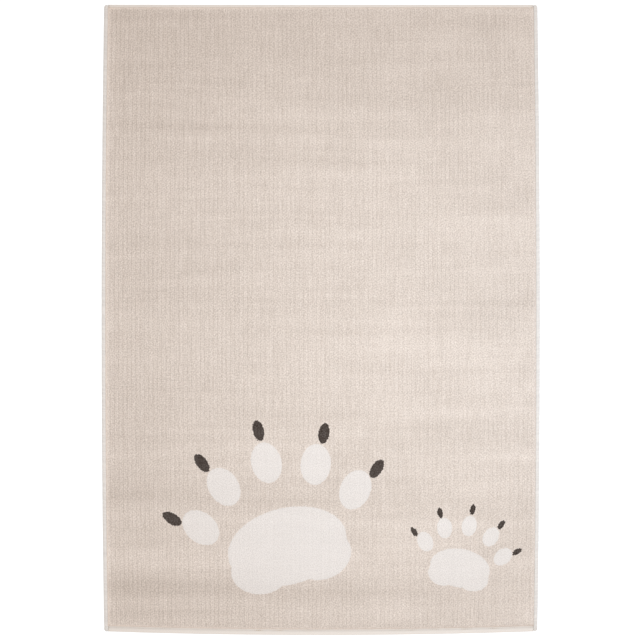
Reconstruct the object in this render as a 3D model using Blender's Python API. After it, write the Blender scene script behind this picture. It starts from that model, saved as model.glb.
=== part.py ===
"""A rectangular kids' rug lying flat: ribbed cut pile, overcast long sides and bound ends.

Units are metres and +Z is up. The origin lies on the floor, at the centre of the
footprint. +Y runs along the rug to its back end, and the figure on the pile is near
the front end, at -Y.

Every piece is first laid out on the flat pattern, a true rectangle with u across it
and v along it. It is then drawn to the real outline, which is a little narrower at
the two ends than in the middle, and has a front end that stands out at its middle.
"""

import math

import bmesh
import bpy
import numpy as np

# Outline of the whole rug
RUG_WIDTH = 1.330
RUG_LENGTH = 1.911
SIDE_DRAW = 0.0079  # each long side is drawn in by this at its two ends
FRONT_BULGE = 0.0115  # the front end stands out by this at its middle
CORNER_RADIUS = 0.0080

# Cut pile on its woven ground, one cloth
RIB_COUNT = 100
PILE_TOP = 0.0112
RIB_DEPTH = 0.0009
PILE_SIDE = 0.0072  # height of the pile where it meets the overcasting and the bindings
ROUND_OVER = 0.0045  # the pile rounds over within this distance of its edge
PILE_ROWS = 8

# Overcast yarn along the two long sides
OVERCAST_WIDTH = 0.0125
OVERCAST_HEIGHT = 0.0066
OVERCAST_FOOT = 0.0020  # height of the bead's upright edges
OVERCAST_STEPS = 6

# Folded bindings on the two ends: distance from the outer edge, then height. The
# front one has a row of stitches sunk in it. The pile leans back over the back one.
FRONT_SECTION = (
    (0.0000, 0.0022),
    (0.0020, 0.0050),
    (0.0095, 0.0050),
    (0.0118, 0.0035),
    (0.0141, 0.0050),
    (0.0165, 0.0050),
    (0.0180, 0.0028),
)
BACK_SECTION = (
    (0.0000, 0.0022),
    (0.0020, 0.0050),
    (0.0065, 0.0050),
    (0.0085, 0.0028),
)

CLEARANCE = 0.0003  # between two pieces that touch
SIDE_STEPS = 12  # straight lengths that follow a drawn-in side
CORNER_STEPS = 4
END_STEPS = 20  # straight lengths that follow the bulging end

PILE_COLOUR = (0.69, 0.61, 0.54)
OVERCAST_COLOUR = (0.76, 0.71, 0.66)
BINDING_COLOUR = (0.78, 0.72, 0.68)

HALF_WIDTH = RUG_WIDTH / 2
HALF_LENGTH = RUG_LENGTH / 2
OVERCAST_INNER = HALF_WIDTH - OVERCAST_WIDTH
CLOTH_SIDE = OVERCAST_INNER - CLEARANCE
CLOTH_FRONT = -HALF_LENGTH + FRONT_SECTION[-1][0] + CLEARANCE
CLOTH_BACK = HALF_LENGTH - BACK_SECTION[-1][0] - CLEARANCE


def round_corner(u, v):
    """Draws a point near a corner of the pattern in, from the square to the arc."""
    a = max(0.0, (abs(u) - HALF_WIDTH) / CORNER_RADIUS + 1)
    b = max(0.0, (abs(v) - HALF_LENGTH) / CORNER_RADIUS + 1)
    in_u = CORNER_RADIUS * a * (1 - math.sqrt(1 - b * b / 2))
    in_v = CORNER_RADIUS * b * (1 - math.sqrt(1 - a * a / 2))
    return u - math.copysign(in_u, u), v - math.copysign(in_v, v)


def to_outline(u, v):
    """Moves a point of the flat pattern to its place on the real outline."""
    u, v = round_corner(u, v)
    drawn_in = SIDE_DRAW * (v / HALF_LENGTH) ** 2
    x = u * (1 - drawn_in / HALF_WIDTH)
    towards_front = (HALF_LENGTH - v) / RUG_LENGTH
    y = v + FRONT_BULGE * towards_front * (u / HALF_WIDTH) ** 2
    return x, y


def even_steps(low, high, count):
    """count + 1 stations from low to high."""
    return [low + (high - low) * i / count for i in range(count + 1)]


def cloth_height(u, v):
    """Height of the pile: ribs along the rug, and all four edges rounded over."""
    from_edge = min(CLOTH_SIDE - abs(u), v - CLOTH_FRONT, CLOTH_BACK - v)
    share = min(1.0, max(0.0, from_edge / ROUND_OVER))
    pile = PILE_SIDE + (PILE_TOP - PILE_SIDE) * (1 - (1 - share) ** 2)

    ribs_from_side = (u + CLOTH_SIDE) / (2 * CLOTH_SIDE) * RIB_COUNT
    from_crest = abs(ribs_from_side % 1.0 - 0.5) * 2
    return pile - RIB_DEPTH * from_crest


def overcast_height(u, v):
    """Height of the overcast bead, which has a half-round top."""
    from_middle = (abs(u) - OVERCAST_INNER) / OVERCAST_WIDTH * 2 - 1
    crown = math.sqrt(max(0.0, 1 - from_middle**2))
    return OVERCAST_FOOT + (OVERCAST_HEIGHT - OVERCAST_FOOT) * crown


def fabric(name, colour):
    """A matt textile material."""
    material = bpy.data.materials.new(name)
    material.use_nodes = True
    shader = material.node_tree.nodes["Principled BSDF"]
    shader.inputs["Base Color"].default_value = (*colour, 1)
    shader.inputs["Roughness"].default_value = 0.95
    shader.inputs["Metallic"].default_value = 0.0
    return material


def lie_on_floor(name, across, along, height, material, collection):
    """A closed piece that lies on the floor, with its top a height above the pattern.

    across and along are the u and v stations of its top, and height(u, v) gives the
    top's height at each of them.
    """
    columns, rows = len(across) - 1, len(along) - 1
    bm = bmesh.new()
    bmesh.ops.create_grid(bm, x_segments=columns, y_segments=rows, size=1)
    for vert in bm.verts:
        u = across[round((vert.co.x + 1) / 2 * columns)]
        v = along[round((vert.co.y + 1) / 2 * rows)]
        vert.co = (u, v, height(u, v))

    under = bmesh.ops.extrude_face_region(bm, geom=bm.faces[:])["geom"]
    for item in under:
        if isinstance(item, bmesh.types.BMVert):
            item.co.z = 0
    for vert in bm.verts:
        vert.co.x, vert.co.y = to_outline(vert.co.x, vert.co.y)

    # The underside is flat, so it is one face.
    under_faces = [item for item in under if isinstance(item, bmesh.types.BMFace)]
    bmesh.ops.dissolve_faces(bm, faces=under_faces)
    bmesh.ops.recalc_face_normals(bm, faces=bm.faces[:])

    mesh = bpy.data.meshes.new(name)
    bm.to_mesh(mesh)
    bm.free()
    mesh.materials.append(material)
    collection.objects.link(bpy.data.objects.new(name, mesh))


def make_cloth(collection):
    """The woven cloth with its ribbed pile, one slab from edge to edge."""
    material = fabric("pile_beige", PILE_COLOUR)
    across = even_steps(-CLOTH_SIDE, CLOTH_SIDE, 2 * RIB_COUNT)
    rounded = (0, ROUND_OVER / 3)
    along = [CLOTH_FRONT + step for step in rounded]
    along += even_steps(CLOTH_FRONT + ROUND_OVER, CLOTH_BACK - ROUND_OVER, PILE_ROWS)
    along += [CLOTH_BACK - step for step in reversed(rounded)]
    lie_on_floor("woven_cloth", across, along, cloth_height, material, collection)


def make_overcasting(collection):
    """The two overcast beads, one along each long side and round its two corners."""
    material = fabric("overcast_cream", OVERCAST_COLOUR)
    corner = even_steps(0, CORNER_RADIUS, CORNER_STEPS)
    straight = even_steps(CORNER_RADIUS - HALF_LENGTH, HALF_LENGTH - CORNER_RADIUS, SIDE_STEPS)
    along = [step - HALF_LENGTH for step in corner[:-1]]
    along += straight
    along += [HALF_LENGTH - step for step in reversed(corner[:-1])]
    for name, side in (("overcast_left", -1), ("overcast_right", 1)):
        across = sorted(side * u for u in even_steps(OVERCAST_INNER, HALF_WIDTH, OVERCAST_STEPS))
        lie_on_floor(name, across, along, overcast_height, material, collection)


def make_binding(name, end, section, material, collection):
    """One folded binding, which fits between the overcast sides.

    end is -1 at the front and 1 at the back.
    """
    from_edge, heights = zip(*section)

    def binding_height(u, v):
        return float(np.interp(HALF_LENGTH - abs(v), from_edge, heights))

    across = even_steps(-CLOTH_SIDE, CLOTH_SIDE, END_STEPS)
    along = sorted(end * (HALF_LENGTH - step) for step in from_edge)
    lie_on_floor(name, across, along, binding_height, material, collection)


def main():
    for obj in list(bpy.data.objects):
        bpy.data.objects.remove(obj)
    collection = bpy.data.collections.new("kids_rug")
    bpy.context.scene.collection.children.link(collection)
    make_cloth(collection)
    make_overcasting(collection)
    tape = fabric("binding_cream", BINDING_COLOUR)
    make_binding("binding_front", -1, FRONT_SECTION, tape, collection)
    make_binding("binding_back", 1, BACK_SECTION, tape, collection)


main()
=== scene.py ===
"""Looks of a rectangular kids' rug: tufted pile, woven ground, overcast sides, bound ends.

Units are metres, +Z is up, and the rug's front end is at -Y. Every piece is laid out on
the flat pattern, a true rectangle with u across the rug and v along it, and is then
drawn to the real outline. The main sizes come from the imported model, which is the frame.
"""

import logging
import math
from collections.abc import Iterator
from dataclasses import dataclass
from enum import Enum

import bmesh
import bpy
import numpy as np
from mathutils import Matrix, Vector


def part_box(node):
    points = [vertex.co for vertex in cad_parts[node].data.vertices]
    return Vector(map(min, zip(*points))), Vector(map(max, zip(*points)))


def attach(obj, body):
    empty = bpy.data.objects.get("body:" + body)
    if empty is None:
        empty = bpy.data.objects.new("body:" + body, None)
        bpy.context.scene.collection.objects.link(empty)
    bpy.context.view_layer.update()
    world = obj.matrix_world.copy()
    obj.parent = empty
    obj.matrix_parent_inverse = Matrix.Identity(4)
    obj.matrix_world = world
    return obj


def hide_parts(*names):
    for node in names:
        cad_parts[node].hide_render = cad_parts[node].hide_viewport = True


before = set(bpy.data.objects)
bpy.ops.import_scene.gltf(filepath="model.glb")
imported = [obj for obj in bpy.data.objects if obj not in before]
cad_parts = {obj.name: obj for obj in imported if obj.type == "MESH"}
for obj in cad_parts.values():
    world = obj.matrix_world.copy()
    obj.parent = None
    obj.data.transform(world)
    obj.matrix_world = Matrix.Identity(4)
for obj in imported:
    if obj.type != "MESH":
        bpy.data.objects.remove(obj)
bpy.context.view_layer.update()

BODY = "root"
BAKE_MAP = "OFBake"
# Each piece's own tone, with painted light and painted shade added in
TONE_AND_PAINTED_LIGHT_LAYER = "tone"
CREST_SHADE_LAYER = "crest"
STRAND_LAYER = "strand"
NUMBER = "NodeSocketFloat"
PLACE = "NodeSocketVector"
log = logging.getLogger("kids_rug")

Points = np.ndarray
Colour = tuple[float, float, float]
Material = bpy.types.Material
Socket = bpy.types.NodeSocket


class Yarn(Enum):
    """The yarns of the figure, and the mesh layer that says where each one is."""

    CREAM = "cream"
    UMBER = "umber"


class End(Enum):
    """The two ends of the rug, with the sign of v there."""

    FRONT = -1
    BACK = 1


@dataclass(frozen=True)
class Outline:
    """The rug's outline, as the frame's solids have it.

    The long sides are drawn in at the ends, the front end bulges, and the four outer
    corners are round.
    """

    half_width: float
    half_length: float
    side_draw: float = 0.0079
    front_bulge: float = 0.0115
    corner_radius: float = 0.0080

    @classmethod
    def of_frame(cls) -> "Outline":
        """Reads the outline's two main sizes from the frame."""
        return cls(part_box("overcast_right")[1].x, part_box("binding_back")[1].y)

    def place(self, u: Points, v: Points) -> tuple[Points, Points]:
        """Moves points of the flat pattern to the real outline.

        Args:
            u: Places across the pattern.
            v: Places along the pattern.

        Returns:
            The x and y of each point.
        """
        a = np.clip((np.abs(u) - self.half_width) / self.corner_radius + 1, 0, 1)
        b = np.clip((np.abs(v) - self.half_length) / self.corner_radius + 1, 0, 1)
        round_u = u - np.sign(u) * self.corner_radius * a * (1 - np.sqrt(1 - b * b / 2))
        round_v = v - np.sign(v) * self.corner_radius * b * (1 - np.sqrt(1 - a * a / 2))
        drawn_in = self.side_draw * (round_v / self.half_length) ** 2
        towards_front = (self.half_length - round_v) / (2 * self.half_length)
        x = round_u * (1 - drawn_in / self.half_width)
        y = round_v + self.front_bulge * towards_front * (round_u / self.half_width) ** 2
        return x, y


# Meshes


def smooth_mesh(bm: bmesh.types.BMesh, name: str) -> bpy.types.Mesh:
    """Turns a bmesh into a smooth-shaded mesh and frees it.

    Args:
        bm: The bmesh.
        name: The mesh's name.

    Returns:
        The mesh.
    """
    mesh = bpy.data.meshes.new(name)
    bm.to_mesh(mesh)
    bm.free()
    mesh.shade_smooth()
    return mesh


def repeated(unit: bpy.types.Mesh, count: int) -> bpy.types.Mesh:
    """Joins copies of a unit, all in one place and in order.

    Args:
        unit: The mesh to repeat. It is removed.
        count: How many copies.

    Returns:
        One mesh of all the copies.
    """
    name = unit.name
    holder = bpy.data.objects.new(name, unit)
    bpy.context.scene.collection.objects.link(holder)
    array = holder.modifiers.new("copies", "ARRAY")
    array.use_relative_offset = False
    array.use_merge_vertices = False
    array.count = count
    shown = holder.evaluated_get(bpy.context.evaluated_depsgraph_get())
    joined = bpy.data.meshes.new_from_object(shown)
    bpy.data.objects.remove(holder)
    bpy.data.meshes.remove(unit)
    joined.name = name
    return joined


@dataclass
class Corners:
    """The corners of a mesh's faces, as arrays.

    Fields:
        point: The point at each corner.
        first: Each face's first corner.
        count: How many corners each face has.
    """

    point: Points
    first: Points
    count: Points

    @classmethod
    def of(cls, mesh: bpy.types.Mesh) -> "Corners":
        """Reads the corners of a mesh.

        Args:
            mesh: The mesh.

        Returns:
            Its corners.
        """
        point = np.empty(len(mesh.loops), np.int32)
        first = np.empty(len(mesh.polygons), np.int32)
        count = np.empty(len(mesh.polygons), np.int32)
        mesh.loops.foreach_get("vertex_index", point)
        mesh.polygons.foreach_get("loop_start", first)
        mesh.polygons.foreach_get("loop_total", count)
        return cls(point, first, count)

    def face_mean(self, values: Points) -> Points:
        """The mean over each face of a value that the points have."""
        return np.add.reduceat(values[self.point], self.first) / self.count

    def spread(self, values: Points) -> Points:
        """Gives each corner its face's value."""
        return np.repeat(values, self.count, axis=0)

    def turn_share(self, angle: Points) -> Points:
        """Works out each corner's angle as a share of a turn, never more than a face away.

        Args:
            angle: The angle of each point, in radians.

        Returns:
            The share at each corner.
        """
        middle = np.arctan2(self.face_mean(np.sin(angle)), self.face_mean(np.cos(angle)))
        face = self.spread(middle)
        apart = angle[self.point] - face
        apart -= 2 * math.pi * np.round(apart / (2 * math.pi))
        return (face % (2 * math.pi) + apart) / (2 * math.pi)


class Piece:
    """A piece of the rug, made by moving the points of one or more copies of a unit mesh.

    Fields:
        mesh: The mesh of all the copies.
        copies: How many copies there are.
        rng: The piece's own random numbers.
        across, ahead, up: Each point's place on its unit, along X, Y and Z.
        angle: Each point's angle about the unit's Z axis.
    """

    def __init__(self, name: str, unit: bmesh.types.BMesh, copies: int, seed: int) -> None:
        """Makes the copies, all in one place and in order.

        Args:
            name: The piece's name.
            unit: The unit mesh. It is freed.
            copies: How many copies to make.
            seed: The seed of the piece's random numbers.
        """
        mesh = smooth_mesh(unit, name)
        self.mesh = repeated(mesh, copies) if copies > 1 else mesh
        self.copies = copies
        self.rng = np.random.default_rng(seed)
        flat = np.empty(len(self.mesh.vertices) * 3, np.float32)
        self.mesh.vertices.foreach_get("co", flat)
        self.across, self.ahead, self.up = flat.reshape(-1, 3).astype(float).T
        self.angle = np.arctan2(self.ahead, self.across)

    def write_map(self, across: Points, along: Points) -> None:
        """Gives the mesh the UV map to bake its finish through."""
        layer = self.mesh.uv_layers.new(name=BAKE_MAP)
        layer.uv.foreach_set("vector", np.stack([across, along], 1).astype(np.float32).ravel())

    def map_cells(self, corners: Corners, across: Points, along: Points) -> None:
        """Lays each copy's own map into a cell of a square of cells.

        Args:
            corners: The corners of the mesh.
            across: Each corner's place across its copy's map, from 0 to 1.
            along: Each corner's place along that map.
        """
        faces = len(corners.first)
        cell = corners.spread(np.arange(faces) * self.copies // faces)
        cells = math.ceil(math.sqrt(self.copies))
        margin = 0.08
        across = margin + (1 - 2 * margin) * across
        along = margin + (1 - 2 * margin) * along
        self.write_map((cell % cells + across) / cells, (cell // cells + along) / cells)

    def each(self, values: Points) -> Points:
        """Gives every point its copy's value."""
        return np.repeat(values, len(self.up) // self.copies)

    def vary(self, middle: float, spread: float) -> Points:
        """A random value for every copy, on each of its points."""
        return self.each(self.rng.normal(middle, spread, self.copies))

    def paint(self, layer: str, values: Points | float) -> None:
        """Stores a value on each point, for a material to read.

        Args:
            layer: The name that the material knows it by.
            values: The values, or one for all points.
        """
        attribute = self.mesh.attributes.new(layer, "FLOAT", "POINT")
        everywhere = np.broadcast_to(values, len(self.mesh.vertices))
        attribute.data.foreach_set("value", everywhere.astype(np.float32))

    def paint_strands(self) -> None:
        """Gives every copy its own strand of yarn."""
        self.paint(STRAND_LAYER, self.each(self.rng.uniform(0, 1, self.copies)))

    def lay_out(
        self, outline: Outline, u: Points, v: Points, z: Points, mirrored: bool = False
    ) -> None:
        """Moves the points to their places on the rug.

        Args:
            outline: The rug's outline.
            u: Each point's place across the flat pattern.
            v: Each point's place along it.
            z: Each point's height.
            mirrored: Whether the faces look inwards then, and have to be turned round.
        """
        x, y = outline.place(u, v)
        self.mesh.vertices.foreach_set("co", np.stack([x, y, z], 1).astype(np.float32).ravel())
        self.mesh.update()
        if mirrored:
            self.mesh.flip_normals()

    def dress(self, finish: Material, slot: str, stands_for: str) -> bpy.types.Object:
        """Gives the piece its finish and puts it in the scene.

        Args:
            finish: The piece's material.
            slot: A material slot's name, which is not used.
            stands_for: The frame's node that the piece replaces.

        Returns:
            The piece's object, which moves with the rug's one body.
        """
        self.mesh.materials.clear()
        self.mesh.materials.append(finish)
        piece = bpy.data.objects.new(self.mesh.name, self.mesh)
        bpy.context.scene.collection.objects.link(piece)
        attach(piece, BODY)
        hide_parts(stands_for)
        return piece


class Slab(Piece):
    """A closed unit slab from -1 to 1 each way, with a fine face at 0 and a plain one at -1.

    Fields:
        column, row: Which line of the fine face's grid each point is on.
        on_top: Whether each point belongs to the fine face.
    """

    def __init__(self, name: str, columns: int, rows: int) -> None:
        """Makes the slab and its map.

        Args:
            name: The piece's name.
            columns: Faces across the fine face.
            rows: Faces along it.
        """
        bm = bmesh.new()
        bmesh.ops.create_grid(bm, x_segments=columns, y_segments=rows, size=1.0)
        rim = [edge for edge in bm.edges if edge.is_boundary]
        walls = bmesh.ops.extrude_edge_only(bm, edges=rim)["geom"]
        for item in walls:
            if isinstance(item, bmesh.types.BMVert):
                item.co.z = -1.0
        foot = [edge for edge in bm.edges if edge.is_boundary]
        bmesh.ops.holes_fill(bm, edges=foot, sides=0)
        for edge in (*rim, *foot):
            edge.smooth = False
        bmesh.ops.recalc_face_normals(bm, faces=bm.faces[:])
        super().__init__(name, bm, copies=1, seed=0)
        self.column = np.rint((self.across + 1) / 2 * columns).astype(int)
        self.row = np.rint((self.ahead + 1) / 2 * rows).astype(int)
        self.on_top = self.up > -0.5
        self.map_faces()

    def map_faces(self) -> None:
        """Maps the fine face large, and the walls and the plain face in strips."""
        corners = Corners.of(self.mesh)
        places = (self.up, self.across, self.ahead)
        level, side, end = (corners.spread(corners.face_mean(place)) for place in places)
        up = self.up[corners.point] + 1
        across = (self.across[corners.point] + 1) / 2
        along = (self.ahead[corners.point] + 1) / 2

        fine_share, strip, strip_used, near = 0.94, 0.010, 0.7, 0.01
        plain, fine = level < near - 1, level > -near
        long_wall = ~fine & ~plain & (np.abs(side) > 0.999)
        strip_index = np.where(long_wall, side > 0, 2 + (end > 0))
        wall_along = fine_share + strip * (strip_index + 0.5 + strip_used * up)
        map_along = np.where(fine, along * fine_share, wall_along)
        map_along = np.where(plain, 1 - strip * (1 - along), map_along)
        self.write_map(np.where(long_wall, along, across), map_along)


class Tubes(Piece):
    """Closed unit tubes along Z, from 0 to 1, with a radius of 1."""

    def __init__(self, name: str, sides: int, rings: int, copies: int = 1, seed: int = 0) -> None:
        """Makes the tubes and their maps.

        Args:
            name: The piece's name.
            sides: Faces round a tube.
            rings: Faces along it.
            copies: How many tubes to make.
            seed: The seed of the piece's random numbers.
        """
        bm = bmesh.new()
        bmesh.ops.create_cone(
            bm, cap_ends=True, cap_tris=False, segments=sides, radius1=1.0, radius2=1.0, depth=1.0
        )
        bmesh.ops.translate(bm, verts=bm.verts[:], vec=(0.0, 0.0, 0.5))
        if rings > 1:
            uprights = [edge for edge in bm.edges if edge.verts[0].co.z != edge.verts[1].co.z]
            bmesh.ops.subdivide_edges(bm, edges=uprights, cuts=rings - 1, use_grid_fill=True)
        super().__init__(name, bm, copies, seed)
        self.unroll()

    def unroll(self) -> None:
        """Unrolls each tube into its own map, with its two caps beside it."""
        corners = Corners.of(self.mesh)
        across = corners.turn_share(self.angle)
        along = self.up[corners.point]
        tilt = np.hypot(corners.face_mean(self.across), corners.face_mean(self.ahead))
        level, cap_radius = 0.01, 0.03
        cap = corners.spread(tilt < level)
        beside = np.where(along > 0.5, cap_radius, -cap_radius)
        across = np.where(cap, 0.5 + self.across[corners.point] * cap_radius, across)
        cap_along = along + beside + self.ahead[corners.point] * cap_radius
        self.map_cells(corners, across, np.where(cap, cap_along, along))


class Rings(Piece):
    """Closed rings about Z with a radius of 1 and a thin round section.

    Fields:
        outwards, sideways: Each point's place on the section, from -1 to 1.
    """

    def __init__(self, name: str, sides: int, steps: int, copies: int, seed: int) -> None:
        """Makes the rings and unrolls each into its own map.

        Args:
            name: The piece's name.
            sides: Faces round a ring's section.
            steps: Faces round the ring.
            copies: How many rings to make.
            seed: The seed of the piece's random numbers.
        """
        thin, together = 0.1, 1e-5
        bm = bmesh.new()
        upright = Matrix.Translation((1.0, 0.0, 0.0)) @ Matrix.Rotation(math.pi / 2, 4, "X")
        bmesh.ops.create_circle(bm, cap_ends=False, segments=sides, radius=thin, matrix=upright)
        bmesh.ops.spin(
            bm,
            geom=bm.verts[:] + bm.edges[:],
            cent=(0.0, 0.0, 0.0),
            axis=(0.0, 0.0, 1.0),
            angle=2 * math.pi,
            steps=steps,
            use_merge=True,
        )
        bmesh.ops.remove_doubles(bm, verts=bm.verts[:], dist=together)
        bmesh.ops.recalc_face_normals(bm, faces=bm.faces[:])
        super().__init__(name, bm, copies, seed)
        corners = Corners.of(self.mesh)
        outwards = np.hypot(self.across, self.ahead) - 1
        along = corners.turn_share(np.arctan2(self.up, outwards))
        self.map_cells(corners, corners.turn_share(self.angle), along)
        self.outwards, self.sideways = outwards / thin, self.up / thin


def drifting(rng: np.random.Generator, cells: tuple[int, int], shape: tuple[int, int]) -> Points:
    """A random field from 0 to 1 that changes slowly from cell to cell.

    Args:
        rng: The source of random numbers.
        cells: How many cells there are each way.
        shape: How many points there are each way.

    Returns:
        The field at every point.
    """
    field = rng.uniform(0, 1, (cells[0] + 1, cells[1] + 1))
    for _ in range(2):
        places = np.linspace(0, len(field) - 1, shape[0])
        low = np.minimum(places.astype(int), len(field) - 2)
        share = places - low
        share = (share * share * (3 - 2 * share))[:, None]
        field = (field[low] * (1 - share) + field[low + 1] * share).T
        shape = shape[::-1]
    return field


# Shader nodes


class Nodes:
    """Adds nodes to one node tree and links them as it goes."""

    def __init__(self, tree: bpy.types.NodeTree) -> None:
        """Starts on a tree."""
        self.tree = tree

    def feed(self, node: bpy.types.Node, sockets: dict) -> None:
        """Sets or links a node's inputs.

        Args:
            node: The node.
            sockets: A number, colour or other node's output for each input named.
        """
        for key, value in sockets.items():
            if isinstance(value, Socket):
                self.tree.links.new(value, node.inputs[key])
            else:
                node.inputs[key].default_value = value

    def add(self, kind: str, sockets: dict | None = None, **settings: object) -> bpy.types.Node:
        """Adds a node.

        Args:
            kind: The node's type.
            sockets: What its inputs get.
            settings: The node's own settings.

        Returns:
            The node.
        """
        node = self.tree.nodes.new(kind)
        for name, value in settings.items():
            setattr(node, name, value)
        self.feed(node, sockets or {})
        return node

    def group(self, tree: bpy.types.NodeTree, **sockets: object) -> bpy.types.NodeOutputs:
        """Places a node group, and gives what it puts out."""
        return self.add("ShaderNodeGroup", sockets, node_tree=tree).outputs

    def maths(self, operation: str, *values: object) -> Socket:
        """One sum on up to three numbers."""
        node = self.add("ShaderNodeMath", dict(enumerate(values)), operation=operation)
        return node.outputs["Value"]

    def vector(self, operation: str, *values: object) -> Socket:
        """One sum on up to three vectors."""
        node = self.add("ShaderNodeVectorMath", dict(enumerate(values)), operation=operation)
        return node.outputs["Vector"]

    def mix(self, share: Socket, first: object, second: object) -> Socket:
        """Works out a colour between two others.

        Args:
            share: How much of the second there is.
            first: The first colour.
            second: The second colour.

        Returns:
            The colour.
        """
        factor, first_colour, second_colour, result = 0, 6, 7, 2
        sockets = {factor: share, first_colour: first, second_colour: second}
        return self.add("ShaderNodeMix", sockets, data_type="RGBA").outputs[result]

    def ranged(self, value: Socket, low: float, high: float) -> Socket:
        """Spreads a value from 0 to 1 over low to high."""
        node = self.add("ShaderNodeMapRange", {"Value": value, "To Min": low, "To Max": high})
        return node.outputs["Result"]

    def about_one(self, value: Socket, contrast: float) -> Socket:
        """Spreads a value from 0 to 1 evenly about 1."""
        return self.ranged(value, 1 - contrast / 2, 1 + contrast / 2)

    def noise(self, place: Socket, scale: object, detail: float = 2.0) -> Socket:
        """A soft random value from 0 to 1."""
        sockets = {"Vector": place, "Scale": scale, "Detail": detail, "Roughness": 0.6}
        return self.add("ShaderNodeTexNoise", sockets).outputs["Fac"]


class Group(Nodes):
    """A node group in the making."""

    def __init__(self, name: str, inputs: dict[str, str], outputs: dict[str, str]) -> None:
        """Starts a group.

        Args:
            name: The group's name.
            inputs: The socket type of each input.
            outputs: The socket type of each output.
        """
        super().__init__(bpy.data.node_groups.new(name, "ShaderNodeTree"))
        for way, sockets in (("INPUT", inputs), ("OUTPUT", outputs)):
            for socket_name, kind in sockets.items():
                self.tree.interface.new_socket(socket_name, in_out=way, socket_type=kind)
        self.given = self.add("NodeGroupInput").outputs

    def put_out(self, **results: Socket) -> bpy.types.NodeTree:
        """Ends the group, which puts these results out."""
        self.add("NodeGroupOutput", results)
        return self.tree


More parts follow.
